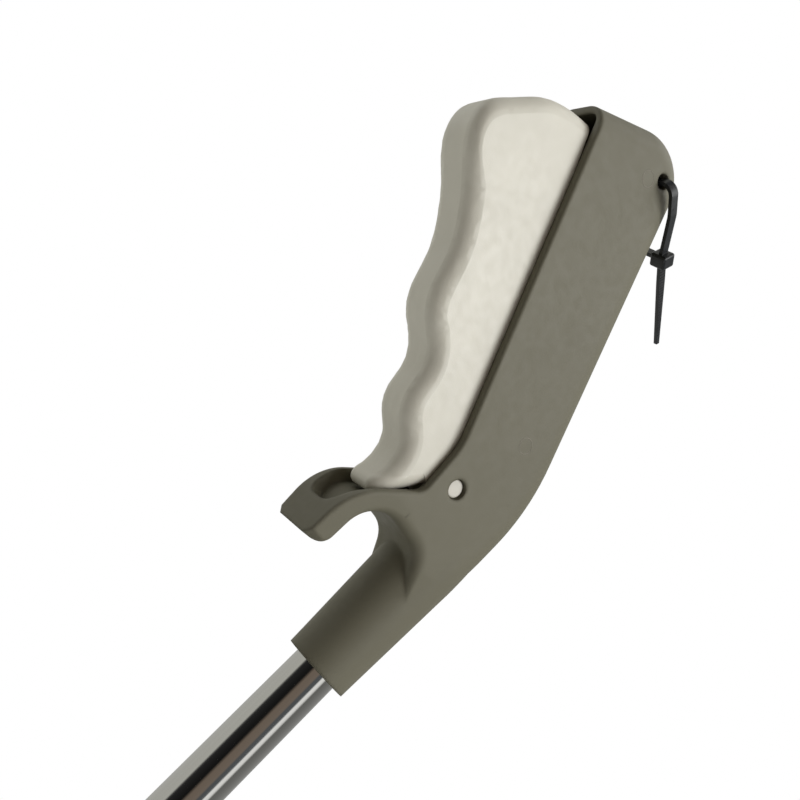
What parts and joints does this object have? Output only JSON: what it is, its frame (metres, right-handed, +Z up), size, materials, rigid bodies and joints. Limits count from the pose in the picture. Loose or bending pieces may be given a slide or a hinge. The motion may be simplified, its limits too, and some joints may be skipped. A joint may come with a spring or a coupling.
{
  "type": "reacher grabber",
  "caption": "Hand-held reaching aid: leaning grip with finger trigger, long metal tube, and a pair of padded jaws closed by a push rod.",
  "frame": {"origin": "on the tube axis, level with the trigger's pivot, at mid width: where the web of the holding hand bears on the neck", "axes": "+Z up the tube towards the handle, -X the side that the trigger faces, Y across the width; the jaws point down"},
  "size_m": [0.1358, 0.0289, 0.6704],
  "materials": {
    "taupe_plastic": "fine-textured taupe grey moulding",
    "cream_plastic": "smooth cream moulding",
    "pin_plastic": "cream pin end",
    "inner_plastic": "natural acetal",
    "steel": "plated steel",
    "spring_steel": "spring wire",
    "polished_tube": "polished bright tube",
    "pad_rubber": "ribbed soft rubber",
    "magnet_metal": "nickel-plated magnet",
    "black_nylon": "black nylon"
  },
  "bodies": {
    "handle": {"housing": "taupe_plastic", "trigger_pin": "pin_plastic", "tube_top_bush": "inner_plastic", "tube": "polished_tube", "rod_guides": "inner_plastic", "head_shell_near": "taupe_plastic", "head_shell_far": "taupe_plastic", "head_screws": "steel", "head_rivets": "steel", "jaw_pivot_pins": "steel", "return_spring": "spring_steel"},
    "trigger": {"trigger": "cream_plastic"},
    "push_rod": {"push_rod": "steel", "rod_clevis": "inner_plastic", "clevis_pin": "steel", "spring_washer": "steel", "crosshead": "inner_plastic", "crosshead_pins": "steel"},
    "jaw_front": {"jaw_front": "cream_plastic", "jaw_pad_front": "pad_rubber", "jaw_magnet": "magnet_metal"},
    "jaw_rear": {"jaw_rear": "cream_plastic", "jaw_pad_rear": "pad_rubber"},
    "hang_tie": {"hang_tie": "black_nylon"}
  },
  "joints": [
    {"name": "trigger_pivot", "type": "hinge", "parent": "handle", "child": "trigger", "pos_m": [-0.017, 0, 0], "axis": [0, 1, 0], "range_deg": [0, 14], "stiffness_Nm_per_rad": 0.6, "springref_deg": -34.38},
    {"name": "rod_slide", "type": "slide", "parent": "handle", "child": "push_rod", "axis": [0, 0, -1], "range_m": [0, 0.0042], "deforming": ["return_spring"]},
    {"name": "jaw_front_pivot", "type": "hinge", "parent": "handle", "child": "jaw_front", "pos_m": [-0.006, 0, -0.482], "axis": [0, -1, 0], "range_deg": [0, 26.6]},
    {"name": "jaw_rear_pivot", "type": "hinge", "parent": "handle", "child": "jaw_rear", "pos_m": [0.006, 0, -0.482], "axis": [0, 1, 0], "range_deg": [0, 26.6]},
    {"name": "tie_swing", "type": "hinge", "parent": "handle", "child": "hang_tie", "pos_m": [-0.0425, 0, 0.0975], "axis": [0, -1, 0], "range_deg": [0, 110]}
  ],
  "couplings": [
    {"joint": "rod_slide", "follows": "trigger_pivot", "m_per_rad": 0.0171},
    {"joint": "jaw_front_pivot", "follows": "trigger_pivot", "ratio": 1.8929},
    {"joint": "jaw_rear_pivot", "follows": "trigger_pivot", "ratio": 1.8929}
  ]
}
